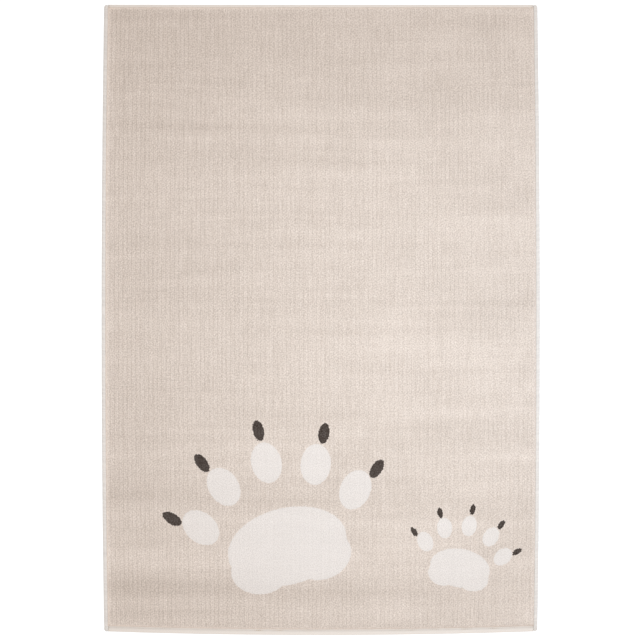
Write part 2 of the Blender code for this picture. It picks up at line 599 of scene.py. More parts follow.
class Effects:
    """The node groups that several finishes share, each built once."""

    def __init__(self) -> None:
        """Builds the groups."""
        self.fibre = self._fibre()
        self.tufts = self._tufts()
        self.flecks = self._flecks()
        self.lay = self._lay()
        self.weave = self._weave()
        self.twist = self._twist()

    def _fibre(self) -> bpy.types.NodeTree:
        """Fine yarn fibres: a speckle at a scale, and a finer one on it."""
        nodes = Group("fibre grain", {"Place": PLACE, "Scale": NUMBER}, {"Grain": NUMBER})
        finer, coarse_share, fine_share = 3.7, 0.6, 0.4
        place, scale = nodes.given["Place"], nodes.given["Scale"]
        coarse = nodes.noise(place, scale)
        fine = nodes.noise(place, nodes.maths("MULTIPLY", scale, finer))
        coarse = nodes.maths("MULTIPLY", coarse, coarse_share)
        fine = nodes.maths("MULTIPLY", fine, fine_share)
        return nodes.put_out(Grain=nodes.maths("ADD", coarse, fine))

    def _tufts(self) -> bpy.types.NodeTree:
        """Cut ends of tufts with frayed borders.

        Each has a tone of its own, is 1 at its middle, and has its fibres laid its own way.
        """
        nodes = Group(
            "tuft ends",
            {"Place": PLACE, "Spacing": NUMBER},
            {"Tone": NUMBER, "Middle": NUMBER, "Fibres": PLACE},
        )
        fray_scale, fray_reach, unevenness = 3.5, 0.6, 0.8
        border, core = 0.65, 0.05
        stretch, far_apart = 0.3, 40.0
        place = nodes.vector("DIVIDE", nodes.given["Place"], nodes.given["Spacing"])
        sockets = {"Vector": place, "Scale": fray_scale, "Detail": 2.0}
        fray = nodes.add("ShaderNodeTexNoise", sockets)
        shift = nodes.vector("SUBTRACT", fray.outputs["Color"], (0.5, 0.5, 0.5))
        frayed = nodes.vector("MULTIPLY_ADD", shift, (fray_reach, fray_reach, 0.0), place)
        cells = nodes.add(
            "ShaderNodeTexVoronoi",
            {"Vector": frayed, "Scale": 1.0, "Randomness": unevenness},
            voronoi_dimensions="2D",
            feature="F1",
        ).outputs
        random = nodes.add("ShaderNodeSeparateColor", {0: cells["Color"]}).outputs
        middle = nodes.add(
            "ShaderNodeMapRange",
            {"Value": cells["Distance"], "From Min": border, "From Max": core},
            interpolation_type="SMOOTHSTEP",
        ).outputs["Result"]

        from_middle = nodes.vector("SUBTRACT", place, cells["Position"])
        turned = nodes.add(
            "ShaderNodeVectorRotate",
            {"Vector": from_middle, "Angle": nodes.maths("MULTIPLY", random["Green"], math.pi)},
            rotation_type="Z_AXIS",
        ).outputs["Vector"]
        laid = nodes.vector("MULTIPLY", turned, (1.0, stretch, 1.0))
        fibres = nodes.vector("MULTIPLY_ADD", cells["Color"], (far_apart,) * 3, laid)
        return nodes.put_out(Tone=random["Red"], Middle=middle, Fibres=fibres)

    def _flecks(self) -> bpy.types.NodeTree:
        """Light and dark flecks, each set off from what is beside it, about 0 on the whole."""
        nodes = Group("flecks", {"Place": PLACE, "Size": NUMBER}, {"Fleck": NUMBER})
        beside, beside_share, balance = 0.5, 0.2, 0.1
        place = nodes.vector("DIVIDE", nodes.given["Place"], nodes.given["Size"])
        fleck = nodes.maths("MULTIPLY_ADD", nodes.noise(place, 1.0, 0.0), 1.0, -balance)
        shifts = ((beside, 0.0, 0.0), (-beside, 0.0, 0.0), (0.0, beside, 0.0), (0.0, -beside, 0.0))
        for shift in shifts:
            neighbour = nodes.noise(nodes.vector("ADD", place, shift), 1.0, 0.0)
            fleck = nodes.maths("MULTIPLY_ADD", neighbour, -beside_share, fleck)
        return nodes.put_out(Fleck=fleck)

    def _lay(self) -> bpy.types.NodeTree:
        """Soft bands across the rug, wide and narrow, where the pile lies over."""
        nodes = Group("pile lay", {"Place": PLACE, "Width": NUMBER}, {"Shade": NUMBER})
        drift_scale, drift_reach = (0.25, 0.5, 0.0), 0.4
        darkest, lightest = 0.36, 0.64
        # How often each set of bands changes across and along the rug, and its weight
        bands = ((0.10, 1.0, 0.32), (0.25, 3.2, 0.30), (0.20, 9.0, 0.20), (1.40, 14.0, 0.18))
        place = nodes.vector("DIVIDE", nodes.given["Place"], nodes.given["Width"])
        drift = nodes.noise(nodes.vector("MULTIPLY", place, drift_scale), 1.0, 0.0)
        drift = nodes.maths("MULTIPLY", drift, drift_reach)
        shift = nodes.add("ShaderNodeCombineXYZ", {"Y": drift}).outputs["Vector"]
        place = nodes.vector("ADD", place, shift)
        total = 0.0
        for across, along, weight in bands:
            band = nodes.noise(nodes.vector("MULTIPLY", place, (across, along, 0.0)), 1.0, 1.0)
            total = nodes.maths("MULTIPLY_ADD", band, weight, total)
        sockets = {"Value": total, "From Min": darkest, "From Max": lightest}
        return nodes.put_out(Shade=nodes.add("ShaderNodeMapRange", sockets).outputs["Result"])

    def _weave(self) -> bpy.types.NodeTree:
        """A plain weave: which thread is on top, and how high it stands."""
        nodes = Group(
            "plain weave",
            {"Place": PLACE, "Across": NUMBER, "Along": NUMBER},
            {"Height": NUMBER, "Thread": NUMBER},
        )
        split = nodes.add("ShaderNodeSeparateXYZ", {0: nodes.given["Place"]}).outputs
        warp_turns = nodes.maths("DIVIDE", split["X"], nodes.given["Across"])
        weft_turns = nodes.maths("DIVIDE", split["Y"], nodes.given["Along"])
        warp_cell, weft_cell = nodes.maths("FLOOR", warp_turns), nodes.maths("FLOOR", weft_turns)
        parity = nodes.maths("FLOORED_MODULO", nodes.maths("ADD", warp_cell, weft_cell), 2.0)
        warp = nodes.maths("PINGPONG", warp_turns, 0.5)
        weft = nodes.maths("PINGPONG", weft_turns, 0.5)
        warp_top = nodes.maths("MULTIPLY", warp, parity)
        weft_top = nodes.maths("MULTIPLY", weft, nodes.maths("SUBTRACT", 1.0, parity))
        return nodes.put_out(Height=nodes.maths("ADD", warp_top, weft_top), Thread=parity)

    def _twist(self) -> bpy.types.NodeTree:
        """Plies of a twisted yarn: slanting ridges, shifted on each strand."""
        inputs = {"Place": PLACE, "Pitch": NUMBER, "Strand": NUMBER}
        nodes = Group("yarn twist", inputs, {"Ply": NUMBER})
        slope = 0.8
        split = nodes.add("ShaderNodeSeparateXYZ", {0: nodes.given["Place"]}).outputs
        slant = nodes.maths("ADD", split["X"], nodes.maths("MULTIPLY", split["Y"], slope))
        slant = nodes.maths("ADD", slant, split["Z"])
        turns = nodes.maths("DIVIDE", slant, nodes.given["Pitch"])
        turns = nodes.maths("ADD", turns, nodes.given["Strand"])
        ridge = nodes.maths("PINGPONG", turns, 0.5)
        return nodes.put_out(Ply=nodes.maths("MULTIPLY", ridge, 2.0))


# Finishes


class Surface(Nodes):
    """A matt textile material in the making."""

    def __init__(self, name: str) -> None:
        """Starts a material of this name."""
        self.material = bpy.data.materials.new(name)
        self.material.use_nodes = True
        super().__init__(self.material.node_tree)
        self.shader = self.tree.nodes["Principled BSDF"]
        self.feed(self.shader, {"Roughness": 0.95, "Specular IOR Level": 0.15})
        self.place = self.add("ShaderNodeTexCoord").outputs["Object"]

    def layer(self, name: str) -> Socket:
        """A value that the mesh carries."""
        node = self.add("ShaderNodeAttribute", attribute_name=name, attribute_type="GEOMETRY")
        return node.outputs["Fac"]

    def grain(self, effects: Effects, place: Socket, scale: float) -> Socket:
        """The speckle of fine fibres."""
        return self.group(effects.fibre, Place=place, Scale=scale)["Grain"]

    def shade(self, colour: Socket, value: Socket, purity: float = 0.0) -> None:
        """Gives the shader a colour times a number that changes over the surface.

        Args:
            colour: The colour.
            value: The number.
            purity: How much purer the colour is where the number is low.
        """
        usual_value = 0.87
        saturation = self.maths("MULTIPLY_ADD", value, -purity, 1 + purity * usual_value)
        sockets = {"Color": colour, "Saturation": saturation, "Value": value}
        shaded = self.add("ShaderNodeHueSaturation", sockets).outputs["Color"]
        self.feed(self.shader, {"Base Color": shaded})

    def finish(self, height: Socket, relief: float, sheen: float = 0.0) -> Material:
        """Ends the material with its relief.

        Args:
            height: The relief, as a share of its depth.
            relief: Its depth in metres.
            sheen: How much the loose fibres catch the light.

        Returns:
            The material.
        """
        sockets = {"Height": height, "Distance": relief, "Strength": 1.0}
        normal = self.add("ShaderNodeBump", sockets).outputs["Normal"]
        self.feed(self.shader, {"Normal": normal, "Sheen Weight": sheen, "Sheen Roughness": 0.5})
        return self.material


@dataclass(frozen=True)
class PileFinish:
    """Cut pile of three yarns, with painted shade darker down between the tufts and in the ribs'
    valleys.
    """

    sand: Colour = (0.861, 0.766, 0.693)
    cream: Colour = (0.920, 0.875, 0.845)
    umber: Colour = (0.080, 0.062, 0.053)
    end_contrast: float = 0.08
    fleck_contrast: float = 0.60
    fleck_size: float = 0.0050
    grain_contrast: float = 0.85
    lay_contrast: float = 0.11
    # Painted shade in the ribs' valleys, purer in colour there, and between the tuft ends
    valley_shade: float = 0.78
    valley_purity: float = 0.85
    gap_shade: float = 0.84
    cream_evenness: float = 0.65
    umber_unevenness: float = 2.2
    ragged_edge: float = 0.0010
    end_spacing: float = 0.0030
    fibres_across: float = 9.0
    lay_width: float = 0.20
    relief: float = 0.0005
    grain_relief: float = 1.8
    sheen: float = 0.25

    def figure(self, nodes: Surface, yarn: Yarn, tone: Socket) -> Socket:
        """Works out where a yarn is, with the figure's edge stepped from tuft to tuft.

        Args:
            nodes: The material in the making.
            yarn: The yarn.
            tone: Each tuft's own tone.

        Returns:
            1 on the yarn's tufts and 0 elsewhere.
        """
        step = nodes.ranged(tone, -self.ragged_edge, self.ragged_edge)
        return nodes.maths("LESS_THAN", nodes.maths("ADD", nodes.layer(yarn.value), step), 0.0)

    def material(self, effects: Effects) -> Material:
        """Builds the finish.

        Args:
            effects: The shared node groups.

        Returns:
            The material.
        """
        nodes = Surface("pile")
        place = nodes.place
        ends = nodes.group(effects.tufts, Place=place, Spacing=self.end_spacing)
        tone, middle = ends["Tone"], ends["Middle"]
        grain = nodes.grain(effects, ends["Fibres"], self.fibres_across)
        lay = nodes.group(effects.lay, Place=place, Width=self.lay_width)["Shade"]
        fleck = nodes.group(effects.flecks, Place=place, Size=self.fleck_size)["Fleck"]

        cream = self.figure(nodes, Yarn.CREAM, tone)
        umber = self.figure(nodes, Yarn.UMBER, tone)
        colour = nodes.mix(cream, (*self.sand, 1), (*self.cream, 1))
        colour = nodes.mix(umber, colour, (*self.umber, 1))

        uneven = nodes.layer(TONE_AND_PAINTED_LIGHT_LAYER)
        for part, contrast in (
            (fleck, self.fleck_contrast),
            (tone, self.end_contrast),
            (grain, self.grain_contrast),
            (lay, self.lay_contrast),
        ):
            uneven = nodes.maths("MULTIPLY_ADD", part, contrast, uneven)
        usual = (self.end_contrast + self.grain_contrast + self.lay_contrast) / 2
        uneven = nodes.maths("SUBTRACT", uneven, usual)
        share = nodes.maths("MULTIPLY_ADD", cream, -self.cream_evenness, 1.0)
        share = nodes.maths("MULTIPLY_ADD", umber, self.umber_unevenness, share)
        value = nodes.maths("MULTIPLY_ADD", uneven, share, 1.0)
        # Painted shade: darker down in the ribs' valleys and at the borders of the tuft ends
        crest = nodes.ranged(nodes.layer(CREST_SHADE_LAYER), self.valley_shade, 1.0)
        value = nodes.maths("MULTIPLY", value, crest)
        value = nodes.maths("MULTIPLY", value, nodes.ranged(middle, self.gap_shade, 1.0))
        nodes.shade(colour, value, self.valley_purity)
        height = nodes.maths("MULTIPLY_ADD", grain, self.grain_relief, middle)
        return nodes.finish(height, self.relief, self.sheen)


@dataclass(frozen=True)
class TuftFinish:
    """Single tufts of one yarn, with upright fibres, and painted shade darker towards their roots.
    """

    colour: Colour
    root_shade: float = 0.70
    grain_contrast: float = 0.45
    grain_shade: float = 0.98
    fibre_scale: float = 3200.0
    fibre_stretch: float = 0.3
    relief: float = 0.0010
    sheen: float = 0.25

    def material(self, effects: Effects) -> Material:
        """Builds the finish.

        Args:
            effects: The shared node groups.

        Returns:
            The material.
        """
        nodes = Surface("rim_tufts")
        upright = nodes.vector("MULTIPLY", nodes.place, (1.0, 1.0, self.fibre_stretch))
        grain = nodes.grain(effects, upright, self.fibre_scale)
        tone = nodes.layer(TONE_AND_PAINTED_LIGHT_LAYER)
        value = nodes.maths("ADD", nodes.about_one(grain, self.grain_contrast), tone)
        # Painted shade, darker towards the roots
        crest = nodes.ranged(nodes.layer(CREST_SHADE_LAYER), self.root_shade, 1.0)
        dark = tuple(part * self.grain_shade for part in self.colour)
        colour = nodes.mix(grain, (*self.colour, 1), (*dark, 1))
        nodes.shade(colour, nodes.maths("MULTIPLY", value, crest))
        return nodes.finish(grain, self.relief, self.sheen)


@dataclass(frozen=True)
class YarnFinish:
    """Twisted yarn, with plies and a slightly different tone on each strand."""

    name: str
    colour: Colour
    strand_contrast: float = 0.10
    grain_contrast: float = 0.16
    ply_pitch: float = 0.0016
    ply_shade: float = 0.94
    fibre_scale: float = 1400.0
    relief: float = 0.0003
    grain_relief: float = 0.5
    sheen: float = 0.15

    def material(self, effects: Effects) -> Material:
        """Builds the finish.

        Args:
            effects: The shared node groups.

        Returns:
            The material.
        """
        nodes = Surface(self.name)
        place, strand = nodes.place, nodes.layer(STRAND_LAYER)
        grain = nodes.grain(effects, place, self.fibre_scale)
        twist = nodes.group(effects.twist, Place=place, Pitch=self.ply_pitch, Strand=strand)
        # Painted shade in the grooves between the plies
        dark = tuple(part * self.ply_shade for part in self.colour)
        colour = nodes.mix(twist["Ply"], (*dark, 1), (*self.colour, 1))
        value = nodes.about_one(strand, self.strand_contrast)
        value = nodes.maths("MULTIPLY", value, nodes.about_one(grain, self.grain_contrast))
        nodes.shade(colour, value)
        raised = nodes.maths("MULTIPLY", grain, self.grain_relief)
        return nodes.finish(nodes.maths("ADD", twist["Ply"], raised), self.relief, self.sheen)


@dataclass(frozen=True)
class ClothFinish:
    """Woven cloth, with two sets of threads."""

    name: str
    warp: Colour
    weft: Colour
    pitch: float
    relief: float
    fibre_scale: float = 900.0
    grain_contrast: float = 0.20
    thread_shade_contrast: float = 0.32
    grain_relief: float = 0.3

    def material(self, effects: Effects) -> Material:
        """Builds the finish.

        Args:
            effects: The shared node groups.

        Returns:
            The material.
        """
        nodes = Surface(self.name)
        place, tone = nodes.place, nodes.layer(TONE_AND_PAINTED_LIGHT_LAYER)
        weave = nodes.group(effects.weave, Place=place, Across=self.pitch, Along=self.pitch)
        height = weave["Height"]
        grain = nodes.grain(effects, place, self.fibre_scale)
        colour = nodes.mix(weave["Thread"], (*self.weft, 1), (*self.warp, 1))
        value = nodes.maths("ADD", nodes.about_one(grain, self.grain_contrast), tone)
        # Painted shade, darker at the sides of each thread where it dips under the next
        value = nodes.maths("MULTIPLY", value, nodes.about_one(height, self.thread_shade_contrast))
        nodes.shade(colour, value)
        raised = nodes.maths("MULTIPLY", grain, self.grain_relief)
        return nodes.finish(nodes.maths("ADD", height, raised), self.relief)


# Figure on the pile


def turned_back(u: Points, v: Points, degrees: float) -> tuple[Points, Points]:
    """Measures places along axes that are turned to the left.

    Args:
        u: The places across.
        v: The places along.
        degrees: How far the axes are turned.

    Returns:
        The places across and along the turned axes.
    """
    turn = math.radians(degrees)
    return u * math.cos(turn) + v * math.sin(turn), v * math.cos(turn) - u * math.sin(turn)


@dataclass(frozen=True)
class Pad:
    """One rounded spot of a track, an ellipse, in shares of the track's size."""

    across: float
    along: float
    half_width: float
    half_length: float
    turn: float = 0.0
    yarn: Yarn = Yarn.CREAM

    def reach(self, u: Points, v: Points) -> Points:
        """Works out how far outside the pad each place lies.

        Args:
            u: The places across the track.
            v: The places along it.

        Returns:
            The distance, below 0 inside.
        """
        across, along = turned_back(u - self.across, v - self.along, self.turn)
        from_middle = np.hypot(across / self.half_width, along / self.half_length)
        return (from_middle - 1) * min(self.half_width, self.half_length)


@dataclass(frozen=True)
class Track:
    """One plain animal track on the pile: a heel pad, five toes and their claws.

    Fields:
        centre: Where the track is, on the flat pattern.
        size: The length that stands for 1 in the track's own shares.
        turn: How far it is turned to the left, in degrees.
        toe_angles: Which way each toe points, in degrees to the right.
        fan_middle: Where the toes fan out from, along the track.
        toe_reach, claw_reach: How far out toes and claws are, across and along.
        toe_turn, claw_turn: How much of its toe's angle each one is turned by.
    """

    centre: tuple[float, float]
    size: float
    turn: float
    toe_angles: tuple[int, ...] = (-63, -32, 0, 32, 63)
    fan_middle: float = -0.14
    toe_reach: tuple[float, float] = (0.68, 0.66)
    claw_reach: tuple[float, float] = (0.90, 0.91)
    toe_turn: float = -0.6
    claw_turn: float = -0.75

    def pads(self) -> Iterator[Pad]:
        """Lists the track's pads, with each claw straight beyond its toe.

        Yields:
            Each pad.
        """
        heel = Pad(across=0.0, along=-0.13, half_width=0.46, half_length=0.29)
        yield heel
        for side in (-1, 1):
            yield Pad(side * 0.25, -0.27, half_width=0.22, half_length=0.17, turn=side * 12)
        for angle in self.toe_angles:
            across, along = math.sin(math.radians(angle)), math.cos(math.radians(angle))
            toe_across, toe_along = self.toe_reach[0] * across, self.toe_reach[1] * along
            yield Pad(toe_across, toe_along + self.fan_middle, 0.115, 0.155, self.toe_turn * angle)
            claw_across, claw_along = self.claw_reach[0] * across, self.claw_reach[1] * along
            claw_turn = self.claw_turn * angle
            yield Pad(
                claw_across, claw_along + self.fan_middle, 0.042, 0.080, claw_turn, Yarn.UMBER
            )

    def reach(self, u: Points, v: Points, yarn: Yarn) -> Points:
        """Works out how far outside the track's pads of one yarn each place lies.

        Args:
            u: The places across the flat pattern.
            v: The places along it.
            yarn: The yarn.

        Returns:
            The distance in metres, below 0 inside.
        """
        from_u, from_v = (u - self.centre[0]) / self.size, (v - self.centre[1]) / self.size
        across, along = turned_back(from_u, from_v, self.turn)
        reaches = [pad.reach(across, along) for pad in self.pads() if pad.yarn == yarn]
        return self.size * np.min(reaches, 0)


# Pile


@dataclass(frozen=True)
class RollMark:
    """A soft band across the pile, left by rolling the rug up.

    Fields:
        along: Where it crosses the rug's middle, on the flat pattern.
        half_width: The distance over which it fades.
        shade: How much it lightens the pile, below 0 where it darkens it.
        side: -1 if it shows only on the left, 1 if only on the right, 0 on both alike.
        slope: How far it rises along the rug for each metre across it.
    """

    along: float
    half_width: float
    shade: float
    side: float = 0.0
    slope: float = -0.018

    def shading(self, across: Points, along: Points, half_width: float) -> Points:
        """Works out how much the mark lightens the pile.

        Args:
            across: The places across the flat pattern.
            along: The places along it.
            half_width: Half the pile's width.

        Returns:
            How much each place is lightened.
        """
        share = across / half_width
        from_mark = (along - self.along - self.slope * across) / self.half_width
        return self.shade * np.exp(-(from_mark**2)) * (1 + self.side * share) / (1 + abs(self.side))


@dataclass
class Pile:
    """The ribbed cut pile, in bands along the rug that meet in the valleys of ribs."""

    outline: Outline
    tracks: tuple[Track, ...]
    roll_marks: tuple[RollMark, ...]
    finish: Material
    ribs: int = 100
    bands: int = 4
    rows: int = 360
    foot: float = 0.0026
    overhang: float = 0.0004
    side_height: float = 0.0056
    round_over: float = 0.0085
    # Painted light near the pile's edges, strongest on the left and at the back, and on the slope
    # of its rounded edge
    side_light: float = 0.11
    right_share: float = 0.2
    back_light: float = 0.09
    edge_fade: float = 0.0140
    slope_light: float = 0.13
    slope_light_drift: float = 0.5
    rib_depth: float = 0.0012
    rib_fade: float = 0.9
    fade_cells: tuple[int, int] = (9, 40)
    fade_relief: float = 0.4
    tuft_lift: float = 0.00019
    # Painted light on tufts that stand higher
    lift_light: float = 0.12
    streak: float = 0.045
    streak_length: float = 0.045
    calm: float = 0.75
    calm_blend: float = 0.006
    slack_across: float = 0.00022
    slack_along: float = 0.0011
    seed: int = 11

    # Depth at eight even places across a rib of four tufts, as a share of its depth
    RIB_SECTION = np.array([1.0, 0.28, 0.42, 0.05, 0.62, 0.05, 0.42, 0.28])
    # Lines of tufts on the rounded edges, as a share of the way in
    EDGE_LINES = np.array([0.0, 0.3, 0.65])

    def __post_init__(self) -> None:
        """Works out the lines of tufts."""
        low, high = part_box("woven_cloth")
        self.top = high.z
        self.half_width = high.x + self.overhang
        self.front, self.back = low.y - self.overhang, high.y + self.overhang
        lines = self.ribs * len(self.RIB_SECTION)
        self.u_lines = np.linspace(-self.half_width, self.half_width, lines + 1)
        edge = self.round_over * self.EDGE_LINES
        inner_lines = self.rows + 1 - 2 * len(edge)
        inner = np.linspace(self.front + self.round_over, self.back - self.round_over, inner_lines)
        self.v_lines = np.concatenate([self.front + edge, inner, self.back - edge[::-1]])

    def rounded_edge(self, inset: Points) -> tuple[Points, Points]:
        """Works out the pile's rounded edge.

        Args:
            inset: How far each place is in from the edge.

        Returns:
            The height of each place, and how far it slopes outwards, in radians.
        """
        drop = self.top - self.side_height
        left = 1 - np.clip(inset / self.round_over, 0, 1)
        return self.top - drop * left**2, np.arctan(2 * drop * left / self.round_over)

    def from_edge(self, u: Points, v: Points) -> Points:
        """How far in each place is from the nearest edge of the pile."""
        return np.minimum(self.half_width - np.abs(u), np.minimum(v - self.front, self.back - v))

    def painted_edge_light(self, u: Points, v: Points) -> Points:
        """Works out the light painted on the pile near its edges: a painted highlight on the outer
        tufts, and painted light that lifts the shade on the rounded edge's slope.

        Args:
            u: The places across the flat pattern.
            v: The places along it.

        Returns:
            How much each place is lightened.
        """
        _, slope = self.rounded_edge(self.from_edge(u, v))
        from_left = np.exp(-(u + self.half_width) / self.edge_fade)
        from_right = np.exp(-(self.half_width - u) / self.edge_fade)
        from_back = np.exp(-(self.back - v) / self.edge_fade)
        near = self.side_light * (from_left + self.right_share * from_right)
        near = near + self.back_light * from_back
        drift = 1 - self.slope_light_drift * u / self.half_width
        return near + self.slope_light * slope * drift

    def over_lines(self, tufts: Points) -> Points:
        """Gives each line of tufts its value on its crest, and the mean between two lines.

        Args:
            tufts: A value for each tuft, by its line and its row.

        Returns:
            The value at every point of the pile's top.
        """
        spread = np.zeros((len(self.u_lines), len(self.v_lines)))
        spread[1::2] = tufts
        spread[2:-1:2] = (tufts[:-1] + tufts[1:]) / 2
        return spread

    def shape(self) -> None:
        """Works out every point of the pile's top, its painted shade, lowest in the ribs' valleys,
        and its tone.
        """
        rng = np.random.default_rng(self.seed)
        u, v = np.meshgrid(self.u_lines, self.v_lines, indexing="ij")
        line = np.arange(len(self.u_lines))
        tufts = (len(line) // 2, v.shape[1])
        from_edge = self.from_edge(u, v)
        share = np.clip(from_edge / self.round_over, 0, 1)
        height, _ = self.rounded_edge(from_edge)

        self.reach = {
            yarn: np.min([track.reach(u, v, yarn) for track in self.tracks], 0) for yarn in Yarn
        }
        outside = np.min(list(self.reach.values()), 0)
        calm = 1 - self.calm * np.clip(0.5 - outside / self.calm_blend, 0, 1)
        fade = self.rib_fade * drifting(rng, self.fade_cells, u.shape)
        fade = fade * (0.5 + 0.5 * u / self.half_width)
        depth = self.RIB_SECTION[line % len(self.RIB_SECTION)][:, None] * calm * share
        lift = self.over_lines(rng.normal(0, self.tuft_lift, tufts)) * calm
        sunk = self.rib_depth * depth * (1 - self.fade_relief * fade)
        self.height = np.minimum(height - sunk + lift, self.top)
        # Painted shade: 1 on the crests, darker down in the ribs' valleys, fading where the ribs
        # fade, and lighter on raised tufts
        lifted = lift / self.tuft_lift * self.lift_light
        self.crest = np.clip(1 - depth * (1 - fade) + lifted, 0, 1)

        cells = (tufts[0] - 1, int((self.back - self.front) / self.streak_length))
        streaks = drifting(rng, cells, tufts) * 2 - 1
        # The tone adds painted light near the edges to the streaks and roll marks
        self.tone = self.streak * self.over_lines(streaks) + self.painted_edge_light(u, v)
        for mark in self.roll_marks:
            self.tone += mark.shading(u, v, self.half_width)

        loose = (share >= 1) & (line % len(self.RIB_SECTION) != 0)[:, None]
        self.u = u + loose * rng.uniform(-self.slack_across, self.slack_across, u.shape)
        self.v = v + loose * rng.uniform(-self.slack_along, self.slack_along, u.shape)

    def build_band(self, index: int) -> bpy.types.Object:
        """Builds one band of the pile as a closed slab.

        Args:
            index: Which band it is, from the left.

        Returns:
            The band.
        """
        columns = (len(self.u_lines) - 1) // self.bands
        band = Slab(f"pile_band_{index + 1}", columns, len(self.v_lines) - 1)
        at = (band.column + index * columns, band.row)
        for yarn, reach in self.reach.items():
            band.paint(yarn.value, reach[at])
        band.paint(TONE_AND_PAINTED_LIGHT_LAYER, self.tone[at])
        # The walls get the darkest painted shade
        band.paint(CREST_SHADE_LAYER, np.where(band.on_top, self.crest[at], 0.0))
        z = np.where(band.on_top, self.height[at], self.foot)
        band.lay_out(self.outline, self.u[at], self.v[at], z)
        return band.dress(self.finish, "pile_beige", "woven_cloth")

    def build(self) -> list[bpy.types.Object]:
        """Builds every band and dresses it."""
        self.shape()
        return [self.build_band(index) for index in range(self.bands)]


@dataclass
class RimTufts:
    """The tufts along the four edges of the pile, which fan out over its rounded edge."""

    pile: Pile
    finish: Material
    sides: int = 5
    pitch: float = 0.0020
    pitch_spread: float = 0.15
    radius: float = 0.0014
    radius_spread: float = 0.12
    taper: float = 0.4
    length: float = 0.0030
    insets: tuple[float, ...] = (0.0006, 0.0025)
    inset_spread: float = 0.0005
    proud: tuple[float, ...] = (0.0005, 0.0003)
    proud_spread: float = 0.5
    fan: float = 12.0
    lean_spread: float = 9.0
    tone_spread: float = 0.06
    seed: int = 23

    def build_edge(self, name: str, span: float, outwards: tuple[int, int]) -> bpy.types.Object:
        """Builds the rows of tufts along one edge, which lean more the nearer they are to it.

        Args:
            name: The piece's name.
            span: The edge's length on the flat pattern.
            outwards: The way out of the pile, across and along.

        Returns:
            The piece.
        """
        pile = self.pile
        in_row = int(span / self.pitch)
        count = in_row * len(self.insets)
        tufts = Tubes(name, self.sides, rings=1, copies=count, seed=self.seed + len(name))
        row, place = np.divmod(tufts.each(np.arange(count)), in_row)

        swell = tufts.vary(self.radius, self.radius * self.radius_spread)
        swell = (1 - self.taper * tufts.up) * swell
        wide, deep = tufts.across * swell, tufts.ahead * swell
        inset = np.array(self.insets)[row] + tufts.vary(0.0, self.inset_spread)
        inset = np.maximum(inset, 0)
        height, slope = pile.rounded_edge(inset)
        lean = slope + np.radians(tufts.vary(self.fan, self.lean_spread))
        proud = np.array(self.proud)[row] * tufts.vary(1.0, self.proud_spread)
        below_tip = (1 - tufts.up) * self.length - proud
        out = wide * np.cos(lean) - below_tip * np.sin(lean) - inset
        z = height - wide * np.sin(lean) - below_tip * np.cos(lean)

        stagger = 0.25 + 0.5 * (row % 2)
        along_edge = (place + stagger) * span / in_row - span / 2
        along_edge += deep + tufts.vary(0.0, self.pitch * self.pitch_spread)
        across, ahead = outwards
        middle_v, half_v = (pile.front + pile.back) / 2, (pile.back - pile.front) / 2
        u = across * (pile.half_width + out) + abs(ahead) * along_edge
        v = middle_v + ahead * (half_v + out) + abs(across) * along_edge
        tufts.lay_out(pile.outline, u, v, np.minimum(z, pile.top), mirrored=across < ahead)
        # Painted light near the edges with each tuft's own random tone, and painted shade towards
        # each root
        tufts.paint(TONE_AND_PAINTED_LIGHT_LAYER, pile.painted_edge_light(u, v) + tufts.vary(0.0, self.tone_spread))
        tufts.paint(CREST_SHADE_LAYER, tufts.up)
        return tufts.dress(self.finish, "pile_beige", "woven_cloth")

    def build(self) -> list[bpy.types.Object]:
        """Builds the tufts of all four edges.

        Returns:
            The pieces.
        """
        width = 2 * self.pile.half_width
        length = self.pile.back - self.pile.front
        return [
            self.build_edge("rim_tufts_left", length, (-1, 0)),
            self.build_edge("rim_tufts_right", length, (1, 0)),
            self.build_edge("rim_tufts_front", width, (0, -1)),
            self.build_edge("rim_tufts_back", width, (0, 1)),
        ]


# Ground, overcasting and bindings


def squared(value: Points, power: Points | float) -> Points:
    """Pushes a sine or cosine outwards, which makes a round section squarer."""
    return np.sign(value) * np.abs(value) ** power


@dataclass
class Ground:
    """The woven ground under the pile, with its weft ridges on the underside."""

    outline: Outline
    finish: Material
    columns: int = 10
    top: float = 0.0030
    low: float = 0.0004
    ridge: float = 0.0004
    hidden: float = 0.0035
    weft_pitch: float = 0.0033

    def build(self) -> bpy.types.Object:
        """Builds the ground, which reaches into the overcasting and the bindings.

        Returns:
            The piece.
        """
        half_width = self.outline.half_width - self.hidden
        half_length = self.outline.half_length - self.hidden
        self.flat = (2 * half_width, 2 * half_length)
        picks = int(self.flat[1] / self.weft_pitch)
        cloth = Slab("ground_cloth", self.columns, 2 * picks)
        under = self.low + self.ridge * (cloth.row % 2)
        z = np.where(cloth.on_top, under, self.top)
        cloth.lay_out(self.outline, -cloth.across * half_width, cloth.ahead * half_length, z)
        return cloth.dress(self.finish, "pile_beige", "woven_cloth")


